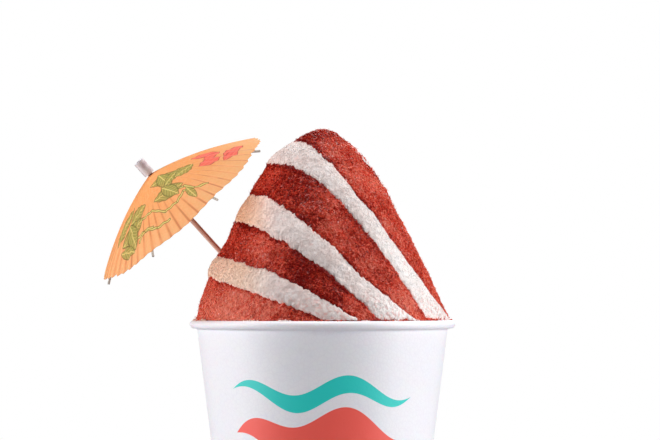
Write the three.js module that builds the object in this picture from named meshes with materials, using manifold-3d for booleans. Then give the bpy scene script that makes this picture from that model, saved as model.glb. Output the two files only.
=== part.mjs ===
// Shaved ice dessert: a foam cup heaped with red shaved ice, white bands poured across the heap,
// and a paper parasol pick stuck into its side.
// Millimetres, +Z up. The origin is the centre of the cup's underside, and the front is towards -Y.
import * as THREE from "three";
import { mergeVertices } from "three/addons/utils/BufferGeometryUtils.js";
import Module from "manifold-3d";

const wasm = await Module();
wasm.setup();

const DEG = Math.PI / 180;
const GAP = 0.3; // clearance that touching pieces keep

// ---- Driving dimensions ----

// Foam cup.
const CUP_HEIGHT = 106;
const CUP_FOOT_R = 41.8;
const CUP_NECK_R = 54.6; // outside of the wall, just under the lip
const CUP_WALL = 2.6;
const CUP_FLOOR = 5; // top of the floor above the table
const CUP_FLOOR_FILLET = 3;
const CUP_FOOT_ROUND = 0.8;
const LIP_R = 58;
const LIP_BEAD_R = 1.8;
const LIP_INNER_ROUND = 0.8;
const NECK_FILLET = 1;
const BASE_RECESS = 2.2;
const FOOT_RING = 3.6; // width of the ring that the cup stands on
const MOULD_PIP_R = 7; // flat disc left by the mould in the middle of the underside
const RECESS_DRAFT = 1; // how much the sides of the recess slope in
const CUP_SIDES = 48;

// Heap of shaved ice. Heights in the heap are measured up from the cup's lip.
const HEAP_R = 56;
const HEAP_HEIGHT = 83.6;
const HEAP_POWER = 0.53; // 0.5 is a paraboloid, and 1 is a cone
const HEAP_LEAN = -1.8; // how far the heap's middle stands off to the side
const LUMP_FADE = 6; // lumps fade out over this height above the lip
const PEAK_FADE = 0.05; // and over this last share of the heap's height, below its peak
const HEAP_SIDES = 46;
const HEAP_RINGS = 15;
// Lumps and dents: azimuth in degrees, height, reach and rise.
const LUMPS = [
  { azimuth: 180, height: 25, reach: 7, rise: 1.5 },
  { azimuth: 182, height: 34, reach: 7, rise: -2.2 },
  { azimuth: 178, height: 53, reach: 8, rise: -1.2 },
  { azimuth: 185, height: 71, reach: 5, rise: 1.9 },
  { azimuth: 250, height: 38, reach: 12, rise: 0.9 },
  { azimuth: 292, height: 20, reach: 11, rise: -1.2 },
  { azimuth: 318, height: 50, reach: 12, rise: 1.1 },
  { azimuth: 0, height: 45, reach: 10, rise: -1.1 },
  { azimuth: 0, height: 79, reach: 5, rise: -2.6 },
  { azimuth: 0, height: 66, reach: 9, rise: -1 },
  { azimuth: 45, height: 30, reach: 13, rise: 1.3 },
  { azimuth: 88, height: 52, reach: 11, rise: -1.4 },
  { azimuth: 120, height: 18, reach: 12, rise: 1.2 },
];

// White bands. Each lies level at the left and then sweeps down to the lip. Azimuth turns from +X
// over the back, and is 270 at the front. Behind the bend an edge rises by "climb" for each degree.
// "lands" is where an edge reaches the lip; "power" and "ease" shape its way down.
const BAND_DEPTH = 3.6;
const BAND_PROUD = 0.5;
const BAND_LOWEST = GAP;
const BAND_LAST_HEIGHT = 1.2; // a band ends where it is only this tall
const BAND_TAPER = 26; // degrees over which a band grows from its tail to its full width
const BAND_TAIL = 0.15; // width of the tail, as a share of the full width
const BAND_STEP = 13; // degrees between one section of a band and the next
const BAND_LEAST_STEPS = 8;
const BAND_ROWS = 3;
const BAND_END_SEARCH = 0.25; // degrees between tries for the azimuth where a band ends
const END_GAP = 1; // degrees between a band's end and the red ice
const MOST_GROWTH = 4; // a groove's edge moves in height by at most this many gaps
const GROOVE_CLEAR = 3; // how far out of the heap a groove is cut
const BANDS = [
  {
    name: "white_band_top", start: 84, bend: 150, climb: 0.03,
    upper: { level: 78.1, lands: 363, power: 6.4, ease: 3 },
    lower: { level: 67.3, lands: 324.8, power: 5.4, ease: 1 },
  },
  {
    name: "white_band_middle", start: 24, bend: 150, climb: 0.13,
    upper: { level: 55.5, lands: 319.2, power: 4.4, ease: 1.6 },
    lower: { level: 42.6, lands: 295.8, power: 3.9, ease: 1 },
  },
  {
    name: "white_band_low", start: 44, bend: 150, climb: 0.2,
    upper: { level: 28.1, lands: 286.4, power: 3.7, ease: 1 },
    lower: { level: 18.6, lands: 271.2, power: 2.8, ease: 1 },
  },
  {
    name: "white_band_right", start: 335, taper: 8, bend: 340, climb: 0,
    upper: { level: 73, lands: 422, power: 1.2, ease: 1 },
    lower: { level: 66, lands: 400, power: 1, ease: 1 },
  },
  {
    name: "white_band_back", start: 62, bend: 70, climb: 0.05,
    upper: { level: 24, lands: 152, power: 2, ease: 1 },
    lower: { level: 13, lands: 128, power: 2, ease: 1 },
  },
];

// Parasol pick. Its own axis runs up the stick, and its zero height is the point of the canopy.
const PARASOL_LEAN = 42; // degrees from upright, to the left
const PARASOL_NOD = 11.5; // degrees towards the front
const PARASOL_ENTRY = { x: -44, y: -1, height: 29.2 }; // where the stick goes into the heap
const STICK_ABOVE_ICE = 47;
const STICK_R = 1.1;
const STICK_LENGTH = 100;
const STICK_ABOVE_CANOPY = 6.2;
const STICK_POINT = 6;
const STICK_TIP_R = 0.25;
const CANOPY_R = 45.6;
const CANOPY_EYE_R = 1.6;
const CANOPY_SLOPE = 0.24;
const CANOPY_CURL = 0.0043; // how the slope steepens towards the edge, per millimetre
const CANOPY_THICKNESS = 0.5;
const CANOPY_RINGS = 3;
const PLEATS = 56;
const PLEAT_DEPTH = 1.1; // at the edge
const PLEAT_NOTCH = 0.8; // how far the edge steps in at each valley
const RIBS = 8;
const RIB_PHASE = 18; // degrees from the canopy's lowest point
const RIB_WIDTH = 1.3;
const RIB_THICKNESS = 0.6;
const RIB_DROP = 1.2; // from the middle of the paper down to the rib's upper face
const RIB_TIP_R = 47;
const RIB_STEPS = 5;
const HUB_R = 3;
const HUB_TOP = -2.2;
const HUB_HEIGHT = 3.4;
const RUNNER_TOP = -19;
const RUNNER_HEIGHT = 4;
const STOP_R = 2.1;
const STOP_HEIGHT = 2.4;
const STRUT_REACH_R = 22;
const STRUT_FOOT_HEIGHT = 0.9;
const CAP_R = 2.4;
const CAP_HEIGHT = 7.4;
const TUBE_SIDES = 18;

// ---- Materials ----

function finish(color, roughness, metalness = 0) {
  return new THREE.MeshStandardMaterial({ color, roughness, metalness });
}

const FOAM = finish(0xf2f1f5, 0.65);
const RED_ICE = finish(0xb13a30, 0.4);
const WHITE_ICE = finish(0xe9e3e0, 0.45);
const ORANGE_PAPER = finish(0xf7a862, 0.8);
const WOOD = finish(0xc7a58c, 0.7);
const CARD = finish(0xd8d2c8, 0.85);
const ROLLED_PAPER = finish(0xd9d5dc, 0.8);

// ---- Helpers ----

// A solid of revolution from [radius, height] pairs, standing up along Z.
function revolve(profile, sides) {
  const points = profile.map(([r, z]) => new THREE.Vector2(r, z));
  return new THREE.LatheGeometry(points, sides).rotateX(Math.PI / 2);
}

// A tube with square ends, from one height up to another.
function tube(innerR, outerR, low, high, sides) {
  const corners = [[innerR, low], [outerR, low], [outerR, high], [innerR, high], [innerR, low]];
  return revolve(corners, sides);
}

// Points on an arc about (r, z), from one angle to another, in degrees.
function arc(r, z, radius, from, to, steps) {
  return Array.from({ length: steps + 1 }, (_, i) => {
    const angle = (from + ((to - from) * i) / steps) * DEG;
    return [r + radius * Math.cos(angle), z + radius * Math.sin(angle)];
  });
}

// A closed skin over loops of points, each loop as long as the next. The ends are closed by a fan
// about a middle point, or the last loop joins the first.
function skin(loops, { firstMiddle, lastMiddle, joined = false }) {
  const count = loops[0].length;
  const points = loops.flat();
  const faces = [];
  const last = joined ? loops.length : loops.length - 1;
  for (let i = 0; i < last; i++) {
    const next = (i + 1) % loops.length;
    for (let j = 0; j < count; j++) {
      const k = (j + 1) % count;
      const [a, b, c, d] = [i * count + j, i * count + k, next * count + k, next * count + j];
      faces.push(a, b, c, a, c, d);
    }
  }
  if (!joined) {
    const first = points.push(firstMiddle) - 1;
    const end = points.push(lastMiddle) - 1;
    const start = (loops.length - 1) * count;
    for (let j = 0; j < count; j++) {
      const k = (j + 1) % count;
      faces.push(first, k, j, end, start + j, start + k);
    }
  }
  return new THREE.BufferGeometry().setFromPoints(points).setIndex(faces);
}

function solidOf(geometry) {
  const bare = new THREE.BufferGeometry().setAttribute("position", geometry.getAttribute("position"));
  const merged = mergeVertices(bare.setIndex(geometry.index), 1e-4);
  return new wasm.Manifold(new wasm.Mesh({
    numProp: 3,
    vertProperties: new Float32Array(merged.attributes.position.array),
    triVerts: new Uint32Array(merged.index.array),
  }));
}

function geometryOf(solid) {
  const mesh = solid.getMesh();
  const geometry = new THREE.BufferGeometry();
  geometry.setAttribute("position", new THREE.BufferAttribute(mesh.vertProperties, 3));
  return geometry.setIndex(new THREE.BufferAttribute(mesh.triVerts, 1));
}

function piece(name, geometry, material) {
  const mesh = new THREE.Mesh(geometry, material);
  mesh.name = name;
  return mesh;
}

// ---- Cup ----

const WALL_SLOPE = (CUP_NECK_R - CUP_FOOT_R) / (CUP_HEIGHT - 2 * LIP_BEAD_R - NECK_FILLET);

function cupOuterR(z) {
  return CUP_FOOT_R + WALL_SLOPE * z;
}

function cupInnerR(z) {
  return cupOuterR(z) - CUP_WALL;
}

function cup() {
  const footInner = CUP_FOOT_R - FOOT_RING - CUP_FOOT_ROUND;
  const beadZ = CUP_HEIGHT - LIP_BEAD_R;
  const neckZ = CUP_HEIGHT - 2 * LIP_BEAD_R - NECK_FILLET;
  const mouthR = cupInnerR(CUP_HEIGHT - LIP_INNER_ROUND);
  const floorR = cupInnerR(CUP_FLOOR + CUP_FLOOR_FILLET);
  return revolve([
    [0, 0],
    [MOULD_PIP_R, 0],
    [MOULD_PIP_R + RECESS_DRAFT, BASE_RECESS],
    [footInner - RECESS_DRAFT, BASE_RECESS],
    [footInner, 0],
    ...arc(CUP_FOOT_R - CUP_FOOT_ROUND, CUP_FOOT_ROUND, CUP_FOOT_ROUND, -90, 0, 2),
    ...arc(cupOuterR(neckZ) + NECK_FILLET, neckZ, NECK_FILLET, 180, 90, 2),
    ...arc(LIP_R - LIP_BEAD_R, beadZ, LIP_BEAD_R, -90, 90, 6),
    ...arc(mouthR + LIP_INNER_ROUND, CUP_HEIGHT - LIP_INNER_ROUND, LIP_INNER_ROUND, 90, 180, 2),
    ...arc(floorR - CUP_FLOOR_FILLET, CUP_FLOOR + CUP_FLOOR_FILLET, CUP_FLOOR_FILLET, 0, -90, 2),
    [0, CUP_FLOOR],
  ], CUP_SIDES);
}

// ---- Ice ----

function heapMiddle(height) {
  const share = Math.min(Math.max(height / HEAP_HEIGHT, 0), 1);
  return HEAP_LEAN * Math.sin(Math.PI * share);
}

function heapR(azimuth, height) {
  const share = Math.max(1 - height / HEAP_HEIGHT, 0);
  const smooth = HEAP_R * share ** HEAP_POWER;
  const fade = Math.min(Math.max(height / LUMP_FADE, 0), 1);
  const lumps = LUMPS.reduce((sum, lump) => {
    const turn = Math.abs(((azimuth - lump.azimuth + 540) % 360) - 180) * DEG;
    const away = Math.hypot(turn * smooth, height - lump.height) / lump.reach;
    return sum + lump.rise * Math.exp(-away * away);
  }, 0);
  return smooth + fade * Math.min(share / PEAK_FADE, 1) * lumps;
}

// A point of the heap's surface, or "deep" millimetres in from it.
function heapPoint(azimuth, height, deep = 0) {
  const r = heapR(azimuth, height) - deep;
  const turn = azimuth * DEG;
  return new THREE.Vector3(
    heapMiddle(height) + r * Math.cos(turn),
    r * Math.sin(turn),
    CUP_HEIGHT + height,
  );
}

function ring(r, z) {
  return Array.from({ length: HEAP_SIDES }, (_, j) => {
    const turn = ((360 * j) / HEAP_SIDES) * DEG;
    return new THREE.Vector3(r * Math.cos(turn), r * Math.sin(turn), z);
  });
}

// What fills the cup, up through its mouth, and the heap that spreads over the lip.
function iceHeap() {
  const floor = CUP_FLOOR + GAP;
  const filletTop = CUP_FLOOR + CUP_FLOOR_FILLET + GAP;
  const mouthZ = CUP_HEIGHT - LIP_INNER_ROUND;
  const mouthR = cupInnerR(mouthZ) - GAP;
  const loops = [
    ring(cupInnerR(filletTop) - GAP - CUP_FLOOR_FILLET, floor),
    ring(cupInnerR(filletTop) - GAP, filletTop),
    ring(mouthR, mouthZ),
    ring(mouthR, CUP_HEIGHT + GAP),
  ];
  for (let i = 0; i < HEAP_RINGS; i++) {
    const height = Math.max(GAP, HEAP_HEIGHT * (1 - (1 - i / HEAP_RINGS) ** (1 / HEAP_POWER)));
    const level = Array.from({ length: HEAP_SIDES }, (_, j) =>
      heapPoint((360 * j) / HEAP_SIDES, height));
    loops.push(level);
  }
  return skin(loops, {
    firstMiddle: new THREE.Vector3(0, 0, floor),
    lastMiddle: new THREE.Vector3(heapMiddle(HEAP_HEIGHT), 0, CUP_HEIGHT + HEAP_HEIGHT),
  });
}

// ---- White bands ----

function edgeHeight(band, edge, azimuth) {
  if (azimuth <= band.bend) return edge.level + band.climb * (band.bend - azimuth);
  const swept = (azimuth - band.bend) / (edge.lands - band.bend);
  return edge.level * Math.max(1 - swept ** edge.power, 0) ** edge.ease;
}

// How much an edge moves in height when it moves sideways by "grow" on the slope of the heap.
function edgeGrowth(band, edge, azimuth, grow) {
  const fall = edgeHeight(band, edge, azimuth + 1) - edgeHeight(band, edge, azimuth - 1);
  const run = 2 * DEG * heapR(azimuth, edgeHeight(band, edge, azimuth));
  return grow * Math.min(Math.hypot(1, fall / run), MOST_GROWTH);
}

// The heights of a band's two edges, drawn in towards each other at its tail.
function bandEdges(band, azimuth, grow) {
  const top = edgeHeight(band, band.upper, azimuth);
  const bottom = edgeHeight(band, band.lower, azimuth);
  const opened = Math.min(BAND_TAIL + (azimuth - band.start) / (band.taper ?? BAND_TAPER), 1);
  const middle = (top + bottom) / 2;
  const lowest = grow ? 0 : BAND_LOWEST;
  return {
    top: middle + (top - middle) * opened + edgeGrowth(band, band.upper, azimuth, grow),
    bottom: Math.max(
      lowest,
      middle + (bottom - middle) * opened - edgeGrowth(band, band.lower, azimuth, grow)),
  };
}

function bandEnd(band) {
  let azimuth = band.bend;
  while (edgeHeight(band, band.upper, azimuth) > BAND_LAST_HEIGHT + BAND_LOWEST) {
    azimuth += BAND_END_SEARCH;
  }
  return azimuth;
}

// One band as a closed strip. With "grow" it is the groove that the band lies in.
function bandStrip(band, grow = 0) {
  const end = bandEnd(band);
  const steps = Math.max(Math.round((end - band.start) / BAND_STEP), BAND_LEAST_STEPS);
  const loops = Array.from({ length: steps + 1 }, (_, i) => {
    const azimuth = band.start + ((end - band.start) * i) / steps;
    const { top, bottom } = bandEdges(band, azimuth, grow);
    const past = grow ? END_GAP * ((i === steps) - (i === 0)) : 0;
    const point = (height, deep) => heapPoint(azimuth + past, height, deep);
    const outer = Array.from({ length: BAND_ROWS + 1 }, (_, j) => {
      const across = j / BAND_ROWS;
      const proud = grow ? GROOVE_CLEAR : BAND_PROUD * Math.sin(Math.PI * across);
      return point(top + (bottom - top) * across, -proud);
    });
    return [point(bottom, BAND_DEPTH + grow), point(top, BAND_DEPTH + grow), ...outer];
  });
  const middle = (loop) =>
    loop.reduce((sum, p) => sum.add(p), new THREE.Vector3()).divideScalar(loop.length);
  return skin(loops, { firstMiddle: middle(loops[0]), lastMiddle: middle(loops[steps]) });
}

// ---- Parasol pick ----

function canopyHeight(r) {
  return -(CANOPY_SLOPE * r + CANOPY_CURL * r * r);
}

// The pleated paper, one column of points for each crest and each valley.
function canopy() {
  const columns = Array.from({ length: 2 * PLEATS }, (_, j) => {
    const turn = (RIB_PHASE + (180 * j) / PLEATS) * DEG;
    const valley = j % 2;
    const edgeR = CANOPY_R - PLEAT_NOTCH * valley;
    const faces = [1, -1].map((side) =>
      Array.from({ length: CANOPY_RINGS + 1 }, (_, i) => {
        const r = CANOPY_EYE_R + ((edgeR - CANOPY_EYE_R) * i) / CANOPY_RINGS;
        const dip = valley * PLEAT_DEPTH * (r / CANOPY_R);
        const z = canopyHeight(r) - dip + (side * CANOPY_THICKNESS) / 2;
        return new THREE.Vector3(r * Math.cos(turn), r * Math.sin(turn), z);
      }));
    return [...faces[0], ...faces[1].reverse()];
  });
  return skin(columns, { joined: true });
}

// A flat strip in the plane through the axis, given its outline as [radius, height] pairs.
function blade(outline, width) {
  const shape = new THREE.Shape(outline.map(([r, z]) => new THREE.Vector2(r, z)));
  const strip = new THREE.ExtrudeGeometry(shape, { depth: width, bevelEnabled: false });
  return strip.translate(0, 0, -width / 2).rotateX(Math.PI / 2);
}

function rib() {
  const start = HUB_R + GAP;
  const under = Array.from({ length: RIB_STEPS + 1 }, (_, i) => {
    const r = start + ((RIB_TIP_R - start) * i) / RIB_STEPS;
    return [r, canopyHeight(r) - RIB_DROP - RIB_THICKNESS];
  });
  const over = under.map(([r, z]) => [r, z + RIB_THICKNESS]).reverse();
  return blade([...under, ...over], RIB_WIDTH);
}

function strut() {
  const foot = [HUB_R + GAP, RUNNER_TOP - RUNNER_HEIGHT / 2];
  const headZ = canopyHeight(STRUT_REACH_R) - RIB_DROP - RIB_THICKNESS - GAP;
  const head = [STRUT_REACH_R, headZ - RIB_THICKNESS];
  const outline = [foot, head, [head[0], headZ], [foot[0], foot[1] + STRUT_FOOT_HEIGHT]];
  return blade(outline, RIB_WIDTH);
}

function stick() {
  const tip = STICK_ABOVE_CANOPY - STICK_LENGTH;
  return revolve([
    [0, tip],
    [STICK_TIP_R, tip],
    [STICK_R, tip + STICK_POINT],
    [STICK_R, STICK_ABOVE_CANOPY],
    [0, STICK_ABOVE_CANOPY],
  ], 16);
}

// The bore that the stick makes in the ice.
function stickBore() {
  const tip = STICK_ABOVE_CANOPY - STICK_LENGTH - GAP;
  const r = STICK_R + GAP;
  return revolve([[0, tip], [r, tip], [r, RUNNER_TOP], [0, RUNNER_TOP]], 12);
}

function parasol() {
  const group = new THREE.Group();
  const inner = STICK_R + GAP;
  const runnerBottom = RUNNER_TOP - RUNNER_HEIGHT;
  const stopTop = runnerBottom - GAP;
  group.add(
    piece("parasol_stick", stick(), WOOD),
    piece("parasol_canopy", canopy(), ORANGE_PAPER),
    piece("parasol_cap", tube(inner, CAP_R, GAP, GAP + CAP_HEIGHT, TUBE_SIDES), ROLLED_PAPER),
    piece("parasol_hub", tube(inner, HUB_R, HUB_TOP - HUB_HEIGHT, HUB_TOP, TUBE_SIDES), CARD),
    piece("parasol_runner", tube(inner, HUB_R, runnerBottom, RUNNER_TOP, TUBE_SIDES), CARD),
    piece("parasol_stop", tube(inner, STOP_R, stopTop - STOP_HEIGHT, stopTop, TUBE_SIDES), ROLLED_PAPER),
  );
  for (let i = 0; i < RIBS; i++) {
    const spoke = new THREE.Group();
    spoke.rotation.z = (RIB_PHASE + (360 * i) / RIBS) * DEG;
    spoke.add(
      piece(`parasol_rib_${i + 1}`, rib(), WOOD),
      piece(`parasol_strut_${i + 1}`, strut(), WOOD),
    );
    group.add(spoke);
  }
  return group;
}

// Turns and places the parasol: its X points at the canopy's lowest side, and its Z up the stick.
function parasolPlace() {
  const lean = PARASOL_LEAN * DEG;
  const nod = PARASOL_NOD * DEG;
  const up = new THREE.Vector3(
    -Math.sin(lean) * Math.cos(nod), -Math.sin(nod), Math.cos(lean) * Math.cos(nod));
  const low = new THREE.Vector3(-Math.cos(lean), 0, -Math.sin(lean));
  const front = new THREE.Vector3().crossVectors(up, low);
  const entry = new THREE.Vector3(
    PARASOL_ENTRY.x, PARASOL_ENTRY.y, CUP_HEIGHT + PARASOL_ENTRY.height);
  return new THREE.Matrix4()
    .makeBasis(low, front, up)
    .setPosition(entry.addScaledVector(up, STICK_ABOVE_ICE));
}

// ---- The whole dessert ----

const place = parasolPlace();
const bore = solidOf(stickBore().applyMatrix4(place));
const grooves = BANDS.map((band) => solidOf(bandStrip(band, GAP)));
const ice = grooves.reduce((solid, groove) => solid.subtract(groove), solidOf(iceHeap()));

const dessert = new THREE.Group();
dessert.add(
  piece("cup", cup(), FOAM),
  piece("red_ice", geometryOf(ice.subtract(bore)), RED_ICE),
  ...BANDS.map((band) =>
    piece(band.name, geometryOf(solidOf(bandStrip(band)).subtract(bore)), WHITE_ICE)),
);

const pick = parasol();
pick.applyMatrix4(place);
dessert.add(pick);

export default dessert;
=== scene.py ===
# %% [markdown]
# # A shaved ice dessert in a foam cup
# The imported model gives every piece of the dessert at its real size: the cup, the heap of red ice,
# the white bands that cross it, and the paper parasol. This lesson builds the look of each piece in
# the same place. Shapes are worked out in millimetres and turned into metres when a mesh is made.

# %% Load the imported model
import math

import bmesh
import bpy
import numpy as np
from mathutils import Matrix, Vector, noise


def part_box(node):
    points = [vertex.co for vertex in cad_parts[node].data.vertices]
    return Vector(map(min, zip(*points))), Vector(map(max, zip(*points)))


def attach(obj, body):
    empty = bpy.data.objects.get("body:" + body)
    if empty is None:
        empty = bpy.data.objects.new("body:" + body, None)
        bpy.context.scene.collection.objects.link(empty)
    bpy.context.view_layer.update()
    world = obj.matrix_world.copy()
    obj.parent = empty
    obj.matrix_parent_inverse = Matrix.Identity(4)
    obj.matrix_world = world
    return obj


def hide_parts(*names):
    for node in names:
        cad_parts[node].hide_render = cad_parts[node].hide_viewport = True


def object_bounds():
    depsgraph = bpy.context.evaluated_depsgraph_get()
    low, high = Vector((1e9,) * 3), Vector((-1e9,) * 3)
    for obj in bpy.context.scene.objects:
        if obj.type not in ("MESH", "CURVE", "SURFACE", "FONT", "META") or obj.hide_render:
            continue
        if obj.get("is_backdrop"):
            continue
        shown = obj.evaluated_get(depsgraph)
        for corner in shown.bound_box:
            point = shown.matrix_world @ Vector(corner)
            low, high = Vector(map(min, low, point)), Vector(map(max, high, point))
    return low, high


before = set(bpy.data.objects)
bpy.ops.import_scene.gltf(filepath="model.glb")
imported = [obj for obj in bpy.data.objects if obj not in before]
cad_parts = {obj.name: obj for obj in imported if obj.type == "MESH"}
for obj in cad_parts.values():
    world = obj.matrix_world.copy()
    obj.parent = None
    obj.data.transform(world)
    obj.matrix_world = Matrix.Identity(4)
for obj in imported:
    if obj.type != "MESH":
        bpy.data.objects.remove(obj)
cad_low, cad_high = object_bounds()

MM = 0.001
BODY = "root"
print("packed nodes:", len(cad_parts), "size in mm:", [round(s / MM, 1) for s in cad_high - cad_low])

# %% [markdown]
# ## Sums on sockets
# A pattern in a material is a sum on coordinates, which is hard to read as nodes. One small class
# wraps a socket, so that Python's own operators add the Math nodes. Its `node` method adds any
# other node: first the node's settings, then the values or links of its sockets.


# %% A socket that Python can do sums on
class Wire:
    def __init__(self, tree, socket):
        self.tree, self.socket = tree, socket

    def node(self, kind, settings=None, inputs=None, output=0):
        made = self.tree.nodes.new(kind)
        for name, value in (settings or {}).items():
            if name == "stops":
                set_stops(made.color_ramp, value)
            else:
                setattr(made, name, value)
        for name, value in (inputs or {}).items():
            if isinstance(value, Wire):
                self.tree.links.new(value.socket, made.inputs[name])
            else:
                made.inputs[name].default_value = value
        return Wire(self.tree, made.outputs[output])

    def math(self, operation, *values):
        inputs = dict(enumerate((self, *values)))
        return self.node("ShaderNodeMath", {"operation": operation}, inputs)

    def __add__(self, other):
        return self.math("ADD", other)

    def __sub__(self, other):
        return self.math("SUBTRACT", other)

    def __mul__(self, other):
        return self.math("MULTIPLY", other)

    def __truediv__(self, other):
        return self.math("DIVIDE", other)

    def __rsub__(self, other):
        return (self * -1) + other

    __radd__ = __add__
    __rmul__ = __mul__

    def step(self, low, high):
        """Rises smoothly from 0 to 1 as the value goes from low to high, and falls if high is lower."""
        inputs = {0: self, 1: low, 2: high}
        settings = {"interpolation_type": "SMOOTHSTEP"}
        if low > high:
            return 1 - self.step(high, low)
        return self.node("ShaderNodeMapRange", settings, inputs)

    def mix(self, first, second):
        """A colour between two, with this value as the share of the second."""
        return self.node("ShaderNodeMix", {"data_type": "RGBA"}, {0: self, 6: first, 7: second}, 2)

    def noise(self, scale, detail=2.0, roughness=0.5):
        inputs = {"Vector": self, "Scale": scale, "Detail": detail, "Roughness": roughness}
        return self.node("ShaderNodeTexNoise", None, inputs)

    def mark(self, name):
        """The number that each point of the mesh keeps under a name."""
        return self.node("ShaderNodeAttribute", {"attribute_name": name}, None, 2)

    def apart(self):
        """The x, y and z of a vector, as three wires."""
        split = self.node("ShaderNodeSeparateXYZ", None, {0: self})
        return [Wire(self.tree, socket) for socket in split.socket.node.outputs]

    def feed(self, socket):
        self.tree.links.new(self.socket, socket)


def set_stops(ramp, stops):
    while len(ramp.elements) < len(stops):
        ramp.elements.new(1.0)
    for element, (position, colour) in zip(ramp.elements, stops):
        element.position, element.color = position, colour


# %% [markdown]
# ## Colours and materials
# A colour is easiest to choose as it looks on a screen, and a helper turns it into the linear light
# that shaders use. Another makes each material: it sets what stays the same all over a surface, and
# calls a function on the Object coordinates, in metres, for what varies.

# %% A colour as it looks on a screen, and a new material
def screen(red, green, blue):
    """A screen colour from 0 to 255 as the linear colour that shaders use."""
    parts = [c / 255 for c in (red, green, blue)]
    linear = [p / 12.92 if p <= 0.04045 else ((p + 0.055) / 1.055) ** 2.4 for p in parts]
    return (*linear, 1.0)


def new_material(name, colour, rough=None, bumps=None, **fixed):
    """A material whose colour and, if given, roughness are functions of Object coordinates.

    The three bumps are a function for the height pattern, a strength, and its full swing in metres.
    """
    material = bpy.data.materials.new(name)
    material.use_nodes = True
    tree = material.node_tree
    shader = tree.nodes["Principled BSDF"]
    for socket, value in fixed.items():
        shader.inputs[socket.replace("_", " ")].default_value = value
    place = Wire(tree, tree.nodes.new("ShaderNodeTexCoord").outputs["Object"])
    colour(place).feed(shader.inputs["Base Color"])
    if rough:
        rough(place).feed(shader.inputs["Roughness"])
    if bumps:
        pattern, strength, distance = bumps
        inputs = {"Strength": strength, "Distance": distance, "Height": pattern(place)}
        place.node("ShaderNodeBump", None, inputs).feed(shader.inputs["Normal"])
    print("material:", name)
    return material


def noisy(*settings):
    """Noise as a function of the coordinates."""
    return lambda place: place.noise(*settings)


def two_tone(scale, detail, low, high, first, second):
    """A cloudy colour between two, as a function of the coordinates."""
    return lambda place: place.noise(scale, detail).step(low, high).mix(first, second)


# %% [markdown]
# ## Meshes from rows of points
# Nearly every piece here is a skin over rows of points: a cup is rows going up, a band of cream is
# rows going along. One helper joins the rows, closes the ends with a fan of faces, and turns all
# faces outwards. Others make the rows of whatever is round.


# %% Skin rows of points, and finish a piece
def link(name, data):
    obj = bpy.data.objects.new(name, data)
    bpy.context.scene.collection.objects.link(obj)
    return obj


SAME_POINT = 1e-7  # points closer than this, in metres, become one


def polar(radius, turn, z):
    """Points round the Z axis, from radii, angles in radians and heights."""
    return np.stack(np.broadcast_arrays(radius * np.cos(turn), radius * np.sin(turn), z), -1)


def swept(outline, sides):
    """Sweeps an outline of radius and height pairs round the Z axis, as one row for each pair."""
    turn = np.linspace(0, 2 * np.pi, sides, endpoint=False)
    return np.stack([polar(radius, turn, z) for radius, z in outline])


def loft(name, rows, joined=False, smooth=True):
    """A closed mesh over rows of points in millimetres, where each row is a loop."""
    rows = np.asarray(rows, float)
    count, around = rows.shape[:2]
    points = rows.reshape(-1, 3)
    i, j = np.meshgrid(np.arange(count if joined else count - 1), np.arange(around), indexing="ij")
    down, right = (i + 1) % count, (j + 1) % around
    corners = [i * around + j, i * around + right, down * around + right, down * around + j]
    faces = np.stack(corners, -1).reshape(-1, 4).tolist()
    if not joined:
        middles = [rows[0].mean(0), rows[-1].mean(0)]
        for middle, first in zip((len(points), len(points) + 1), (0, (count - 1) * around)):
            faces += [[middle, first + k, first + (k + 1) % around] for k in range(around)]
        points = np.vstack([points, middles])
    mesh = bpy.data.meshes.new(name)
    mesh.from_pydata((points * MM).tolist(), [], faces)
    tidy = bmesh.new()
    tidy.from_mesh(mesh)
    bmesh.ops.remove_doubles(tidy, verts=tidy.verts, dist=SAME_POINT)
    bmesh.ops.recalc_face_normals(tidy, faces=tidy.faces)
    tidy.to_mesh(mesh)
    tidy.free()
    mesh.polygons.foreach_set("use_smooth", [smooth] * len(mesh.polygons))
    return link(name, mesh)


def dress(obj, material, slot, *nodes):
    """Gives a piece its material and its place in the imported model."""
    if material:
        obj.data.materials.append(material)
    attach(obj, BODY)
    if nodes:
        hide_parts(*nodes)
    print(f"{obj.name}: {len(obj.data.polygons)} faces")


# %% [markdown]
# ## Camera
# The dessert is seen from just above the cup's lip, so the lip is nearly a straight line. A long
# lens from far away keeps the cup's sides from spreading; it is worked out from how much the picture
# should take in at that distance.

# %% Camera
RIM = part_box("cup")[1].z / MM
FRAME_WIDTH = 288.9  # how much the picture takes in at the cup, from side to side
CAMERA_DISTANCE = 1100
CAMERA_ABOVE_RIM = 9
AIM = (3.3, 0, RIM + 43.8)


def aim(obj, place, target):
    """Puts a camera or a lamp in a place, in metres, and turns it towards a target."""
    obj.location = place
    obj.rotation_euler = (Vector(target) - obj.location).to_track_quat("-Z", "Y").to_euler()


camera = link("camera", bpy.data.cameras.new("camera"))
camera.data.lens = camera.data.sensor_width * CAMERA_DISTANCE / FRAME_WIDTH
aim(camera, Vector((AIM[0], -CAMERA_DISTANCE, RIM + CAMERA_ABOVE_RIM)) * MM, Vector(AIM) * MM)
bpy.context.scene.camera = camera
print("lens in mm:", round(camera.data.lens, 1))


# %% [markdown]
# ## Light
# Two big soft lights at the sides leave the middle of the cup a little darker, as in a product
# studio, and weaker ones from above and behind shape the heap. The surround is white to the camera
# but gives off little light: rays from the camera see its full strength, all others a small share.

# %% Lights and surround
def soft_light(name, place, width, height, power):
    data = bpy.data.lights.new(name, "AREA")
    data.shape, data.size, data.size_y, data.energy = "RECTANGLE", width, height, power
    light = link(name, data)
    aim(light, place, (0, 0, RIM * MM))
    print(f"{name}: {power} W from {light.location.length:.2f} m")
    return light


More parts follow.
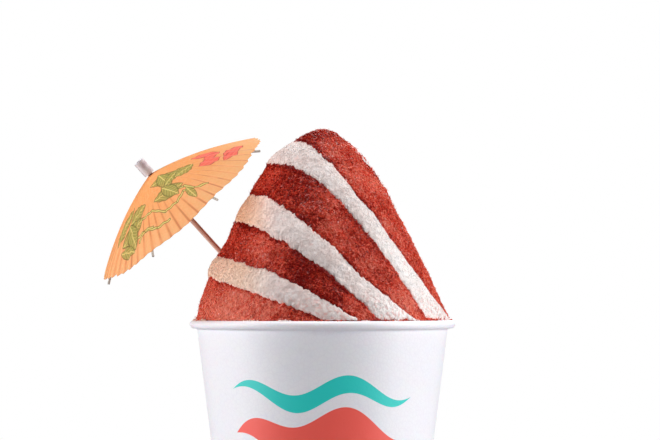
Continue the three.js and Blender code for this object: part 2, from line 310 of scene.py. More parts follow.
left_light = soft_light("left_light", (-0.96, -0.27, 0.2), 0.45, 0.5, 8.5)
soft_light("right_light", (0.94, -0.31, 0.25), 0.45, 0.6, 9.1)
soft_light("top_light", (0.05, -0.05, 1.2), 0.6, 0.5, 9.6)
soft_light("back_light", (0.1, 0.95, 0.6), 0.6, 0.6, 4)

SURROUND_LIGHT = 0.045
world = bpy.data.worlds.new("surround")
bpy.context.scene.world = world
world.use_nodes = True
background = world.node_tree.nodes["Background"]
rays = Wire(world.node_tree, world.node_tree.nodes.new("ShaderNodeLightPath").outputs["Is Camera Ray"])
(rays * (1 - SURROUND_LIGHT) + SURROUND_LIGHT).feed(background.inputs["Strength"])
background.inputs["Color"].default_value = (1, 1, 1, 1)
bpy.context.scene.view_settings.view_transform = "Standard"

# %% [markdown]
# ## Floor
# A white table top would throw light up on the front of the cup, which should be darkest there, so
# it is a middle grey, faintly cloudy. It is a thick disc, and only scenery.

# %% Floor
FLOOR_R = 450
FLOOR_TOP = -0.2  # a little lower than the cup's foot, so that the two never touch
FLOOR_THICK = 3
FLOOR_SIDES = 96
floor_outline = [(FLOOR_R, FLOOR_TOP - FLOOR_THICK), (FLOOR_R, FLOOR_TOP)]
floor = loft("floor", swept(floor_outline, FLOOR_SIDES), smooth=False)
floor.data.materials.append(new_material(
    "grey_floor", lambda place: place.noise(30).mix(screen(150, 150, 153), screen(158, 158, 160)),
    Roughness=0.7))
floor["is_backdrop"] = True
print("floor radius in mm:", FLOOR_R)

# %% [markdown]
# ## The shape of the heap
# Ice scooped into a cup stands in a smooth dome with soft lumps in it. Both are sums: a power curve
# for the dome, round bumps for the lumps. The same functions place the red ice and the white bands,
# so that they always meet.

# %% The dome and its lumps
HEAP_R = 56
HEAP_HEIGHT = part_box("red_ice")[1].z / MM - RIM
HEAP_POWER = 0.53
HEAP_LEAN = -1.8
LUMP_FADE = 6
PEAK_FADE = 0.05
ROOM_FOR_ROUGHNESS = 1.1  # the dome is drawn in by this much, for bumps and crystals to fill
# Azimuth in degrees, then height, reach and rise in millimetres.
LUMPS = [
    (180, 25, 7, 1.5), (182, 34, 7, -2.2), (178, 53, 8, -1.2), (185, 71, 5, 1.9),
    (250, 38, 12, 0.9), (292, 20, 11, -1.2), (318, 50, 12, 1.1), (0, 45, 10, -1.1),
    (0, 79, 5, -2.6), (0, 66, 9, -1.0), (45, 30, 13, 1.3), (88, 52, 11, -1.4), (120, 18, 12, 1.2),
]


def dome_radius(azimuth, height):
    left = np.clip(1 - height / HEAP_HEIGHT, 0, 1)
    smooth = HEAP_R * left**HEAP_POWER
    total = np.zeros_like(smooth)
    for lump_azimuth, lump_height, reach, rise in LUMPS:
        turned = np.radians((azimuth - lump_azimuth + 540) % 360 - 180)
        away = np.hypot(turned * smooth, height - lump_height) / reach
        total += rise * np.exp(-(away**2))
    return smooth + np.clip(height / LUMP_FADE, 0, 1) * np.clip(left / PEAK_FADE, 0, 1) * total


print("heap in mm: radius", HEAP_R, "height", round(HEAP_HEIGHT, 1), "lumps", len(LUMPS))

# %% [markdown]
# ## Points on the heap
# A piece of ice is drawn by asking for points at an azimuth, a height and a distance out from the
# dome, whose axis bows a little to one side. Grain is smooth noise sampled at the points themselves,
# so two pieces that touch get the same bumps where they meet.

# %% Points on the heap, and grain
SEED_SHIFT = (7.3, 3.1, 5.7)  # each seed reads the noise this much further on


def heap_points(azimuth, height, out=0.0):
    """Points on the heap, or a distance out from it, in millimetres."""
    azimuth, height = np.broadcast_arrays(np.asarray(azimuth, float), np.asarray(height, float))
    radius = np.clip(dome_radius(azimuth, height) + out - ROOM_FOR_ROUGHNESS, 0, None)
    turned = np.radians(azimuth)
    middle = HEAP_LEAN * np.sin(np.pi * np.clip(height / HEAP_HEIGHT, 0, 1))
    return np.stack([middle + radius * np.cos(turned), radius * np.sin(turned), RIM + height], -1)


def grain(points, size, seed=0):
    """Noise from about -1 to 1 at each point, with lumps of this size in millimetres."""
    shift = Vector([seed * part for part in SEED_SHIFT])
    flat = [noise.noise(Vector(p) / size + shift) for p in points.reshape(-1, 3)]
    return np.array(flat).reshape(points.shape[:-1])


print("top of the heap in mm:", heap_points(0, HEAP_HEIGHT).round(1))

# %% [markdown]
# ## Where the white bands run
# Each band is poured from the left, level at first, and then sweeps down to the lip at the right.
# Its two edges are curves of height over azimuth, and the red ice can ask the same curves where to
# sink under the white.

# %% The edges of the bands
# Name; start, taper and bend in degrees; climb behind the bend in millimetres a degree; and for the
# upper and the lower edge: level height, azimuth where it lands on the lip, power and ease.
BANDS = [
    ("white_band_top", 84, 26, 150, 0.03, (78.1, 363, 6.4, 3), (67.3, 324.8, 5.4, 1)),
    ("white_band_middle", 24, 26, 150, 0.13, (55.5, 319.2, 4.4, 1.6), (42.6, 295.8, 3.9, 1)),
    ("white_band_low", 44, 26, 150, 0.2, (28.1, 286.4, 3.7, 1), (18.6, 271.2, 2.8, 1)),
    ("white_band_right", 335, 8, 340, 0, (73, 422, 1.2, 1), (66, 400, 1, 1)),
    ("white_band_back", 62, 26, 70, 0.05, (24, 152, 2, 1), (13, 128, 2, 1)),
]


def edge_height(band, edge, azimuth):
    bend, climb = band[3:5]
    level, lands, power, ease = edge
    along = np.clip((azimuth - bend) / (lands - bend), 0, 1)
    behind = climb * np.clip(bend - azimuth, 0, None)
    return behind + level * (1 - along**power) ** ease


for band in BANDS:
    print(band[0], "leaves its level height at", band[3], "degrees and lands at", band[5][1])

# %% [markdown]
# ## Ragged edges, and the course of a band
# Syrup creeps through ice in tongues of every size, so four wavelengths of noise are added along
# each edge, and stretched where the band runs steeply. A band starts as a thin tail, opens to its
# full width, and ends where its upper edge meets the lip.

# %% Ragged edges, and the course of a band
RAGGED = ((9.0, 0.8), (3.2, 0.55), (1.4, 0.5), (0.8, 0.45))  # degrees of azimuth, and swing in mm
EDGE_SHIFT = 5.3  # how far apart in the noise two edges are read
BAND_TAIL = 0.15
BAND_LAST_HEIGHT = 0.6
TRACK_STEP = 0.35  # in degrees
TOP_RADIUS, TOP_STRETCH = 8, 3  # the least radius and the most stretching that are counted with


def ragged(azimuth, seed):
    """A wavering height to add along an edge."""
    return sum(
        swing * np.array([noise.noise((a / length, seed * EDGE_SHIFT, 0)) for a in azimuth])
        for length, swing in RAGGED)


def band_edges(band, azimuth):
    """The heights of a band's upper and lower edge, and how steeply the band runs."""
    start, taper = band[1:3]
    upper, lower = band[5:]
    top, bottom = edge_height(band, upper, azimuth), edge_height(band, lower, azimuth)
    opened = np.clip(BAND_TAIL + (azimuth - start) / taper, 0, 1)
    middle, half = (top + bottom) / 2, (top - bottom) / 2 * opened
    seed = BANDS.index(band)
    radius = np.clip(dome_radius(azimuth, middle), TOP_RADIUS, None)
    slope = np.gradient(middle, azimuth) / np.radians(1) / radius
    steep = np.clip(np.hypot(1, slope), 1, TOP_STRETCH)
    top = middle + half + ragged(azimuth, seed) * steep
    return top, np.clip(middle - half + ragged(azimuth, seed + 20) * steep, 0, None), steep


def band_track(band):
    """Azimuths from a band's start to where it dies out on the lip."""
    azimuth = np.arange(band[1], band[1] + 400, TRACK_STEP)
    alive = edge_height(band, band[5], azimuth) > BAND_LAST_HEIGHT
    return azimuth[alive]


TRACKS = [(band, track, *band_edges(band, track)) for band in BANDS for track in [band_track(band)]]
print("bands:", [(band[0], round(float(track[-1]))) for band, track, *_ in TRACKS])

# %% [markdown]
# ## The red ice
# A close grid of points follows the dome, and sinks where a white band lies, so the band has a bed.
# Three sizes of noise roughen it: soft lumps, clumps, and the unevenness of packed crystals. The
# white bands share the helpers.

# %% Roughness, and how deep a point lies in a band
HEAP_COLUMNS = 400
HEAP_ROWS = 150
BED_DEPTH = 2.2
BED_SLOPE = (0.2, 2.2)  # the bed falls from the first to the second distance inside a band
ROUGHNESS = ((11.0, 0.8), (4.0, 0.55), (1.7, 0.4))  # size and swing of each noise
LIP_GAP = 0.35


def relief(points, share=1.0, seed=0):
    return share * sum(swing * grain(points, size, seed) for size, swing in ROUGHNESS)


def inside_bands(azimuth, height):
    """How far each point lies inside a band, in millimetres; outside it is below zero."""
    best = np.full(azimuth.shape, -50.0)
    for band, track, top, bottom, steep in TRACKS:
        for lap in (0, 360):
            turned = azimuth + lap
            on = (turned >= track[0]) & (turned <= track[-1])
            high, low, run = (np.interp(turned, track, curve) for curve in (top, bottom, steep))
            deep = np.minimum(high - height, height - low) / run
            best = np.where(on, np.maximum(best, deep), best)
    return best


def smooth_step(value, low, high):
    share = np.clip((value - low) / (high - low), 0, 1)
    return share * share * (3 - 2 * share)


print("roughness swings by up to", round(sum(swing for size, swing in ROUGHNESS), 2), "mm")

# %% [markdown]
# ## The grid of the red ice
# Rows of the grid crowd together towards the top, where the dome turns over, and are calmed near
# the lip so that nothing pokes through the cup. Four more rings carry the ice down into the cup.

# %% Red ice core
MOUTH_R = 51.7
CUP_FLOOR_R = 38.7
CUP_FLOOR_Z = 5.4
CORNER_CUT = (2.7, 3)  # out and up, clear of the fillet in the cup's corner
MOUTH_DEPTH = 0.8
# Radius and height of each ring inside the cup.
BURIED = [
    (CUP_FLOOR_R, CUP_FLOOR_Z), (CUP_FLOOR_R + CORNER_CUT[0], CUP_FLOOR_Z + CORNER_CUT[1]),
    (MOUTH_R, RIM - MOUTH_DEPTH), (MOUTH_R, RIM + LIP_GAP),
]


def calm(height):
    """The share of the roughness that is left near the lip, at a height above it."""
    return np.clip(0.3 + height / 3, 0, 1)


grid_share = np.arange(HEAP_ROWS)[:, None] / HEAP_ROWS
heights = np.clip(HEAP_HEIGHT * (1 - (1 - grid_share) ** (1 / HEAP_POWER)), LIP_GAP, None)
azimuths = np.arange(HEAP_COLUMNS)[None, :] * 360 / HEAP_COLUMNS
azimuths, heights = np.broadcast_arrays(azimuths, heights)
covered = inside_bands(azimuths, heights)
rough = relief(heap_points(azimuths, heights)) * calm(heights)
heap_rows = heap_points(azimuths, heights, rough - BED_DEPTH * smooth_step(covered, *BED_SLOPE))
red_ice = loft("red_ice_core", np.concatenate([swept(BURIED, HEAP_COLUMNS), heap_rows]))
print("red ice covered by white:", f"{np.mean(covered > 0):.0%}")

# %% [markdown]
# ## Marks on the red ice
# Crystals should grow only where red shows, and painted shade darkens the red in the crease beside the
# white.
# The mesh knows where the bands run, so each point keeps two numbers: how bare it is, and how near
# the edge of a white band.

# %% Mark where the red ice is bare
def store(obj, name, values):
    """Keeps one number for each point of a mesh, under a name that node trees can read."""
    attribute = obj.data.attributes.new(name, "FLOAT", "POINT")
    attribute.data.foreach_set("value", np.asarray(values, np.float32)[: len(obj.data.vertices)])


unmarked = np.zeros(len(BURIED) * HEAP_COLUMNS)
bare = smooth_step(-covered, -0.8, 0.0).ravel()
# Painted shade: the red is darker just outside the edges of a white band.
shade_beside_white = smooth_step(covered, -1.6, -0.2).ravel()
store(red_ice, "bare", np.concatenate([unmarked, bare, [0, 1]]))
store(red_ice, "edge", np.concatenate([unmarked, shade_beside_white, [0, 0]]))
print(f"bare share of the heap: {bare.mean():.0%}")

# %% [markdown]
# ## The white bands
# A band is a strip with a rounded back. Each of its rows goes over the back from the lower edge to
# the upper one and returns underneath. The edges tuck in below the red surface, so the line where
# red meets white is wherever the two rough surfaces cross.

# %% White bands
BAND_ACROSS = 26
BAND_CROWN = 0.75
BAND_SQUARE = 0.36  # the smaller, the flatter the back and the steeper the sides
BAND_TUCK = 0.9
BAND_DEEP = 3.2
WHITE_ROUGHNESS = 0.5
UNDERSIDE_POINTS = 4
BARE_TO = 0.92  # crystals grow from the middle line out to this share of a band's half width
FRINGE_SPAN = (0.74, 0.95)  # and the edge's pink, syrup's tint with a painted highlight, rises between these two

white_bands = []
for band, track, top, bottom, steep in TRACKS:
    across = np.linspace(0, 1, BAND_ACROSS)[None, :]
    height, below = (
        np.clip(bottom[:, None] + (top - bottom)[:, None] * share, LIP_GAP, None)
        for share in (across, np.linspace(1, 0, UNDERSIDE_POINTS)[None, :]))
    back = -BAND_TUCK + (BAND_TUCK + BAND_CROWN) * np.sin(np.pi * across) ** BAND_SQUARE
    white_rough = relief(heap_points(track[:, None], height), WHITE_ROUGHNESS, seed=3)
    outside = heap_points(track[:, None], height, back + white_rough * calm(height))
    underside = heap_points(track[:, None], below, -BAND_DEEP)
    piece = loft(band[0] + "_ice", np.concatenate([outside, underside], 1))
    off_middle = np.abs(2 * across - 1) + 0 * height
    # Along its edges the band gets syrup's pink with a painted highlight.
    fringe = smooth_step(off_middle, *FRINGE_SPAN)
    for mark, values in (("bare", off_middle < BARE_TO), ("edge", fringe)):
        marks = np.concatenate([values, 0 * below], 1).ravel()
        store(piece, mark, np.append(marks, [0, 0]))
    white_bands.append(piece)
    print(f"{piece.name}: {len(track)} rows of {BAND_ACROSS} points")

# %% [markdown]
# ## Ice crystals
# Shaved ice is a mat of small flakes, and noise alone looks like plaster. So a geometry tree
# scatters thin splinters over the bare parts of a surface, and gives each one a tone of its own. It
# ends in plain mesh, in as few faces a splinter as will do.

# %% Inputs of the splinter tree, and helpers for any tree
SPLINTER_INPUTS = {
    "Float": ("Splinters per square metre", "Length", "Width"),
    "Int": ("Seed",),
    "Material": ("Finish",),
}


def new_tree(name, inputs):
    """A geometry tree with inputs named by kind, and a wire for each input."""
    tree = bpy.data.node_groups.new(name, "GeometryNodeTree")
    for kind, labels in ({"Geometry": ("Geometry",)} | inputs).items():
        for label in labels:
            tree.interface.new_socket(label, in_out="INPUT", socket_type="NodeSocket" + kind)
    tree.interface.new_socket("Geometry", in_out="OUTPUT", socket_type="NodeSocketGeometry")
    entry = tree.nodes.new("NodeGroupInput")
    return tree, {socket.name: Wire(tree, socket) for socket in entry.outputs if socket.name}


def close_tree(tree, geometry, finish):
    whole = geometry.node("GeometryNodeRealizeInstances", None, {0: geometry})
    coated = whole.node("GeometryNodeSetMaterial", None, {"Geometry": whole, "Material": finish})
    ending = tree.nodes.new("NodeGroupOutput")
    coated.feed(ending.inputs[0])
    print(f"tree {tree.name}: {len(tree.nodes)} nodes")


# %% [markdown]
# ## The tree that scatters
# Points are strewn over the host, denser where its "bare" mark is high. A three-sided cone stands
# for a splinter. It would stand upright like fur, so each one is turned with the surface and then
# tipped over by 63 to 115 degrees, which lays it down with one end a little raised.

# %% A geometry tree that scatters splinters
TIPPED = ((-0.5, 1.1, 0), (0.5, 2.0, math.tau))  # least and most turn about x, y and z, in radians
SIZED = ((0.5, 0.4, 0.5), (1.3, 1.1, 1.3))  # least and most scale along x, y and z

splinters, given = new_tree("splinters", SPLINTER_INPUTS)
surface = given["Geometry"]
open_share = surface.node("GeometryNodeInputNamedAttribute", {"data_type": "FLOAT"}, {"Name": "bare"})
spots = surface.node(
    "GeometryNodeDistributePointsOnFaces", {"distribute_method": "RANDOM"},
    {"Mesh": surface, "Density": given["Splinters per square metre"] * open_share, "Seed": given["Seed"]})
shard = surface.node(
    "GeometryNodeMeshCone", {"fill_type": "NGON"},
    {"Vertices": 3, "Radius Top": 0.0, "Radius Bottom": given["Width"] * 0.5, "Depth": given["Length"]})


def random_vector(low, high, seed):
    inputs = {0: low, 1: high, "Seed": seed}
    return surface.node("FunctionNodeRandomValue", {"data_type": "FLOAT_VECTOR"}, inputs)


normal_turn = Wire(splinters, spots.socket.node.outputs["Rotation"])
flat = random_vector(*TIPPED, 1)
turns = surface.node(
    "FunctionNodeRotateRotation", {"rotation_space": "LOCAL"}, {0: normal_turn, 1: flat})
sizes = random_vector(*SIZED, 2)
laid = surface.node(
    "GeometryNodeInstanceOnPoints", None,
    {"Points": spots, "Instance": shard, "Rotation": turns, "Scale": sizes})
tone = surface.node("FunctionNodeRandomValue", {"data_type": "FLOAT"}, {2: 0.0, 3: 1.0, "Seed": 5}, 1)
toned = surface.node(
    "GeometryNodeStoreNamedAttribute", {"data_type": "FLOAT", "domain": "INSTANCE"},
    {"Geometry": laid, "Name": "tone", "Value": tone})
close_tree(splinters, toned, given["Finish"])


# %% [markdown]
# ## Running a tree
# A geometry tree works as a modifier. Its inputs are set through their identifiers, the result is
# copied out as a plain mesh, and the modifier is taken off again.

# %% Run a geometry tree
def grow(name, host, tree, **settings):
    """Runs a geometry tree on a host object, and gives the result as a plain mesh of its own."""
    modifier = host.modifiers.new(tree.name, "NODES")
    modifier.node_group = tree
    for item in tree.interface.items_tree:
        key = item.name.replace(" ", "_")
        if item.in_out == "INPUT" and key in settings:
            modifier[item.identifier] = settings[key]
    graph = bpy.context.evaluated_depsgraph_get()
    mesh = bpy.data.meshes.new_from_object(
        host.evaluated_get(graph), preserve_all_data_layers=True, depsgraph=graph)
    host.modifiers.remove(modifier)
    print(f"{name}: {sum(len(face.vertices) - 2 for face in mesh.polygons)} triangles grown")
    return link(name, mesh)


# %% [markdown]
# ## Colour of the red ice
# Red syrup soaks unevenly: noise at two sizes gives its patches, and each splinter's own tone
# lightens or darkens it. It lies thinner near the lip at the left and has soaked deep above that. A
# painted shadow lies low in the middle, under the middle band, and painted shade darkens the red
# beside the white. All patterns add up to one number, which picks from a colour ramp.

# %% Colour of the red ice
RED_DEEP = screen(120, 14, 12)
RED_MIDDLE = screen(212, 58, 42)
RED_PALE = screen(248, 134, 112)
RED_STOPS = [(0.12, RED_DEEP), (0.45, RED_MIDDLE), (0.95, RED_PALE)]
# Places in metres. A step runs from the first number to the second.
PALE_FOOT = (0.030, 0.004)  # the syrup is thinner this low above the lip, at the left
PALE_LEFT = (-0.008, -0.042)
PALE_RIGHT = (0.010, 0.036)
FLANK_HEIGHTS = (0.033, 0.046)  # and it has soaked deep on the left from here up
FLANK_LEFT = (0.010, -0.012)
BAND_SHADOW = (0.0, RIM * MM + 0.015)  # x and z of a painted shadow under the middle band
BAND_SHADOW_RUN = (0.83, -0.56)  # the way the painted shadow runs, down and to the right along the band
BAND_SHADOW_TAIL, BAND_SHADOW_HEAD, BAND_SHADOW_SIDE = (-0.030, -0.002), (0.016, 0.007), (0.014, 0.007)
FRONT = (0.0, -0.02)


def above_lip(z):
    return z - RIM * MM


def grit(place):
    """Coarse grains close above the lip, where ice has been pressed against the cup."""
    return place.noise(650, 2).step(0.5, 0.64) * above_lip(place.apart()[2]).step(0.018, 0.003)


def soaked_red(place, tone):
    """The colour of syrup in ice, for a tone from 0, dark, to 1, pale."""
    x, y, z = place.apart()
    # A painted shadow under the middle band, on the front only.
    across, up = x - BAND_SHADOW[0], z - BAND_SHADOW[1]
    run = across * BAND_SHADOW_RUN[0] + up * BAND_SHADOW_RUN[1]
    aside = (across * BAND_SHADOW_RUN[1] - up * BAND_SHADOW_RUN[0]).math("ABSOLUTE")
    band_shadow = run.step(*BAND_SHADOW_TAIL) * run.step(*BAND_SHADOW_HEAD) * aside.step(*BAND_SHADOW_SIDE) * y.step(*FRONT)
    # Each pattern, with how much paler it makes the ice where it is full.
    patterns = [
        (place.noise(70, 2).step(0.35, 0.7), 0.28),
        (place.noise(900, 2).step(0.3, 0.72), 0.25),
        (tone, 0.5),
        (above_lip(z).step(*PALE_FOOT) * x.step(*PALE_LEFT), 0.3),
        (grit(place), 0.3),
        (x.step(*PALE_RIGHT), 0.09),
        # The painted shadow under the middle band darkens the red.
        (band_shadow, -0.4),
        (above_lip(z).step(*FLANK_HEIGHTS) * x.step(*FLANK_LEFT), -0.26),
        # Painted shade in the crease beside a white band.
        (place.mark("edge"), -0.22),
    ]
    wet = sum(pattern * weight for pattern, weight in patterns)
    return wet.node("ShaderNodeValToRGB", {"stops": RED_STOPS}, {0: wet})


# %% [markdown]
# ## Colour of the white bands
# The cream is not one white: noise mixes a bright and a dim one. The bands pick up a warm blush at
# the left, where the orange paper glows on them, and turn pink in specks. Along their edges they
# turn a pale, bright pink: syrup's tint with a painted highlight.

# %% Colour of the white ice
WHITE_BRIGHT = screen(246, 236, 233)
WHITE_DIM = screen(224, 205, 200)
WHITE_LIT = screen(254, 248, 246)  # the side that faces the brighter lamp
PEACH = screen(242, 198, 160)
PINK = screen(232, 176, 168)
# Pale pink of syrup at a band's edge, brightened as a painted highlight.
FRINGE = screen(254, 222, 212)
LIT_RIGHT = (0.008, 0.034)
GLOW_LEFT = (-0.018, -0.036)
GLOW_TOP = (0.185, 0.160)
GLOW_RISE = (0.130, 0.150)  # below this the blush is weaker


def creamy_white(place, tone):
    """The colour of cream, for a tone from 0, dim, to 1, bright."""
    x, y, z = place.apart()
    white = (place.noise(160, 3).step(0.3, 0.7) * 0.65 + tone * 0.35).mix(WHITE_DIM, WHITE_BRIGHT)
    white = (x.step(*LIT_RIGHT) * 0.8).mix(white, WHITE_LIT)
    glow = x.step(*GLOW_LEFT) * z.step(*GLOW_TOP) * (z.step(*GLOW_RISE) * 0.3 + 0.6)
    warmed = glow.mix(white, PEACH)
    crept = (place.noise(240, 3).step(0.6, 0.78) * 0.4).math("MAXIMUM", grit(place) * 0.6)
    # The edges get syrup's pink with a painted highlight, and specks of crept syrup turn pink.
    return crept.mix((place.mark("edge") * 0.6).mix(warmed, FRINGE), PINK)


# %% [markdown]
# ## Materials for ice
# Each colour of ice needs a material for the core, which gets its grain from noise and bump, and
# one for its splinters. Light enters ice before it leaves, which subsurface scattering gives: red
# light travels furthest in the syrup, and all colours about equally far in the cream.

# %% Cores and splinters
ICE = {"Subsurface_Weight": 0.35, "Subsurface_Scale": 0.0012, "IOR": 1.31}


def ice_materials(names, paint, grains, core_rough, splinter_rough, bumps, **fixed):
    """The material of a core, and that of its splinters."""
    scale, strength, depth = bumps
    core = new_material(
        names[0], lambda place: paint(place, place.noise(grains, 1).step(0.3, 0.7)),
        lambda place: place.noise(500, 2).step(0.2, 0.8).math("MULTIPLY_ADD", *core_rough),
        (noisy(scale, 3, 0.6), strength, depth), **ICE, **fixed)
    splinter = new_material(
        names[1], lambda place: paint(place, place.mark("tone")),
        lambda place: place.mark("tone") * 0.2 + splinter_rough, **ICE, **fixed)
    return core, splinter


red_core_finish, red_splinter_finish = ice_materials(
    ("soaked_red_ice", "red_splinters"), soaked_red, grains=2200, core_rough=(0.25, 0.22),
    splinter_rough=0.15, bumps=(1500, 0.7, 0.0008), Subsurface_Radius=(1.0, 0.25, 0.15),
    Specular_IOR_Level=0.35)
white_core_finish, white_splinter_finish = ice_materials(
    ("white_ice", "white_splinters"), creamy_white, grains=1800, core_rough=(0.2, 0.35),
    splinter_rough=0.25, bumps=(1300, 0.5, 0.0006), Subsurface_Radius=(1.0, 0.8, 0.7),
    Specular_IOR_Level=0.6)

# %% [markdown]
# ## Crystals on the ice
# Red ice gets short wide flakes for its grain and fewer long needles for its sparkle. The cream is
# smoother, so the bands get only small flakes. Density is in splinters to the square metre, which
# makes a few to each square millimetre.

# %% Grow the splinters and dress the ice
def strew(name, host, density, length, width, seed, finish, slot):
    """Grows splinters on a host, with their length and width in millimetres."""
    grown = grow(
        name, host, splinters, Splinters_per_square_metre=density, Length=length * MM,
        Width=width * MM, Seed=seed, Finish=finish)
    dress(grown, None, slot)


DENSE, SPARSE = 3.0e6, 1.6e6
strew("red_flakes", red_ice, DENSE, 1.0, 0.9, 11, red_splinter_finish, "red_ice")
strew("red_needles", red_ice, SPARSE, 2.0, 0.45, 23, red_splinter_finish, "red_ice")
dress(red_ice, red_core_finish, "red_ice", "red_ice")
for piece in white_bands:
    node = piece.name.removesuffix("_ice")
    strew(node + "_flakes", piece, DENSE, 0.8, 0.6, 31, white_splinter_finish, "white_ice")
    dress(piece, white_core_finish, "white_ice", node)

# %% [markdown]
# ## Crumbs on the lip
# Some ice always falls off as a cup is filled, and lies along the lip in little drifts. The same
# tree strews it on a narrow ring laid over the lip, with a mark that comes and goes round the cup.
# The ring is thrown away once the crumbs have grown.

# %% Crumbs
CRUMB_RING = ((54.7, 0.1), (55.6, 0.2), (56.5, 0.15), (56.4, -0.5), (54.8, -0.5))  # radius, over the lip
CRUMB_STEPS = 720
DRIFT_SIZE, DRIFT_SPAN = 7, (0.05, 0.6)  # of the noise that the drifts follow
ring_rows = swept([(r, RIM + z) for r, z in CRUMB_RING], CRUMB_STEPS).swapaxes(0, 1)
for name, finish, slot, seed in (
        ("red_crumbs", red_splinter_finish, "red_ice", 41),
        ("white_crumbs", white_splinter_finish, "white_ice", 43)):
    ring = loft("crumb_ring", ring_rows, joined=True)
    drifts = smooth_step(grain(ring_rows, DRIFT_SIZE, seed), *DRIFT_SPAN)
    drifts[:, 3:] = 0  # none on the underside
    store(ring, "bare", drifts.ravel())
    strew(name, ring, DENSE, 0.9, 0.8, seed, finish, slot)
    bpy.data.objects.remove(ring)

# %% [markdown]
# ## The foam cup
# A foam cup is one outline swept round the axis: up the outside, over the rolled lip, down the
# inside and across the floor. Rounded corners are short arcs in the outline, because a knife edge
# would catch no light. The foot stands on a ring, with the bottom set back.

# %% Cup
CUP_FOOT_R = 41.8
CUP_NECK_R = 54.6
CUP_WALL = 2.6
CUP_SIDES = 192
LIP_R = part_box("cup")[1].x / MM
LIP_BEAD = 1.8
NECK_FILLET = 1.0
NECK_Z = RIM - 2 * LIP_BEAD - NECK_FILLET
MOUTH_ROUND = 0.8
FLOOR_Z = 5
FLOOR_FILLET = 3
FOOT_ROUND = 0.8
FOOT_RING = 3.6
RECESS = 2.2
PIP_R = 7
WALL_STEPS = 24


def arc(r, z, radius, start, end, steps):
    """Points of an outline round a corner, between two angles in degrees."""
    angle = np.radians(np.linspace(start, end, steps + 1))
    return [(r + radius * math.cos(a), z + radius * math.sin(a)) for a in angle]


def cup_radius(z):
    return CUP_FOOT_R + (CUP_NECK_R - CUP_FOOT_R) * z / NECK_Z


foot_inner = CUP_FOOT_R - FOOT_RING - FOOT_ROUND
mouth = cup_radius(RIM - MOUTH_ROUND) - CUP_WALL
floor_edge = cup_radius(FLOOR_Z + FLOOR_FILLET) - CUP_WALL
wall = [(cup_radius(z), z) for z in np.linspace(FOOT_ROUND, NECK_Z, WALL_STEPS)[1:-1]]
cup_outline = [
    (PIP_R / 2, 0), (PIP_R - 0.2, 0), (PIP_R, 0.2), (PIP_R + 1, RECESS - 0.2), (PIP_R + 1.2, RECESS),
    (foot_inner - 1.2, RECESS), (foot_inner - 1, RECESS - 0.2), (foot_inner - 0.1, 0.1), (foot_inner, 0),
    *arc(CUP_FOOT_R - FOOT_ROUND, FOOT_ROUND, FOOT_ROUND, -90, 0, 5),
    *wall,
    *arc(cup_radius(NECK_Z) + NECK_FILLET, NECK_Z, NECK_FILLET, 180, 90, 5),
    *arc(LIP_R - LIP_BEAD, RIM - LIP_BEAD, LIP_BEAD, -90, 90, 16),
    *arc(mouth + MOUTH_ROUND, RIM - MOUTH_ROUND, MOUTH_ROUND, 90, 180, 5),
    *arc(floor_edge - FLOOR_FILLET, FLOOR_Z + FLOOR_FILLET, FLOOR_FILLET, 0, -90, 6),
    (PIP_R, FLOOR_Z),
]
cup = loft("foam_cup", swept(cup_outline, CUP_SIDES))
print("cup outline:", len(cup_outline), "points")

# %% [markdown]
# ## Foam, and the print on it
# Expanded foam is pressed from beads, whose faint outlines show in the colour and as a very low
# bump. The front of the cup carries plain printed waves: each is a sine curve along the wall, wide
# in the middle and drawn out to points at both ends.

# %% Foam and print
FOAM_BRIGHT = screen(247, 246, 252)
FOAM_DIM = screen(240, 238, 246)
TEAL = screen(34, 214, 206)
CORAL = screen(255, 96, 84)
PRINT_R = 0.050
PRINT_HALF = 0.041
WAVE_LENGTH = 0.044
WAVE_SWING = 0.0042
PRINT_EDGE = 0.00012  # over this far the ink fades out
# Height on the cup, half width of the stroke and colour of each wave.
WAVES = [(0.0755, 0.0040, TEAL), (0.0570, 0.0095, CORAL), (0.0385, 0.0040, TEAL)]


def beads(place):
    """The distance from the nearest edge between two beads."""
    settings = {"feature": "DISTANCE_TO_EDGE"}
    return place.node("ShaderNodeTexVoronoi", settings, {"Vector": place, "Scale": 520})


def printed_foam(place):
    x, y, z = place.apart()
    mottle = beads(place).step(0.0, 0.12) * 0.5 + place.noise(500, 2) * 0.5
    paint = mottle.mix(FOAM_DIM, FOAM_BRIGHT)
    along = x.math("ARCTAN2", y * -1) * PRINT_R
    fade = 1 - (along / PRINT_HALF).math("POWER", 2)
    for wave_z, half, colour in WAVES:
        centre = (along * (math.tau / WAVE_LENGTH)).math("SINE") * WAVE_SWING + wave_z
        inside = fade * half - (z - centre).math("ABSOLUTE")
        paint = inside.step(-PRINT_EDGE, PRINT_EDGE).mix(paint, colour)
    return paint


foam_finish = new_material(
    "pressed_foam", printed_foam, bumps=(lambda place: beads(place).step(0.0, 0.3), 0.07, 0.0002),
    Roughness=0.5, Subsurface_Weight=0.15, Subsurface_Scale=0.002)
dress(cup, foam_finish, "foam", "cup")

# %% [markdown]
# ## The parasol's own frame
# The parasol leans, so its pieces are worked out upright about their own axis and moved by one
# matrix: x to the canopy's lowest side, y to the front, z up the stick, zero at the canopy's point.
# Its materials get the same coordinates back through a Mapping node.

# %% Parasol frame
LEAN, NOD = math.radians(42), math.radians(11.5)
ENTRY = Vector((-44, -1, RIM + 29.2))
STICK_ABOVE_ICE = 47
stick_up = Vector((-math.sin(LEAN) * math.cos(NOD), -math.sin(NOD), math.cos(LEAN) * math.cos(NOD)))
lowest = Vector((-math.cos(LEAN), 0, -math.sin(LEAN)))
tilt = Matrix((lowest, stick_up.cross(lowest), stick_up)).transposed()
apex = ENTRY + stick_up * STICK_ABOVE_ICE


def lean(points):
    """Moves upright parasol points, in millimetres, to where the parasol is."""
    return np.asarray(points, float) @ np.array(tilt).T + np.array(apex)


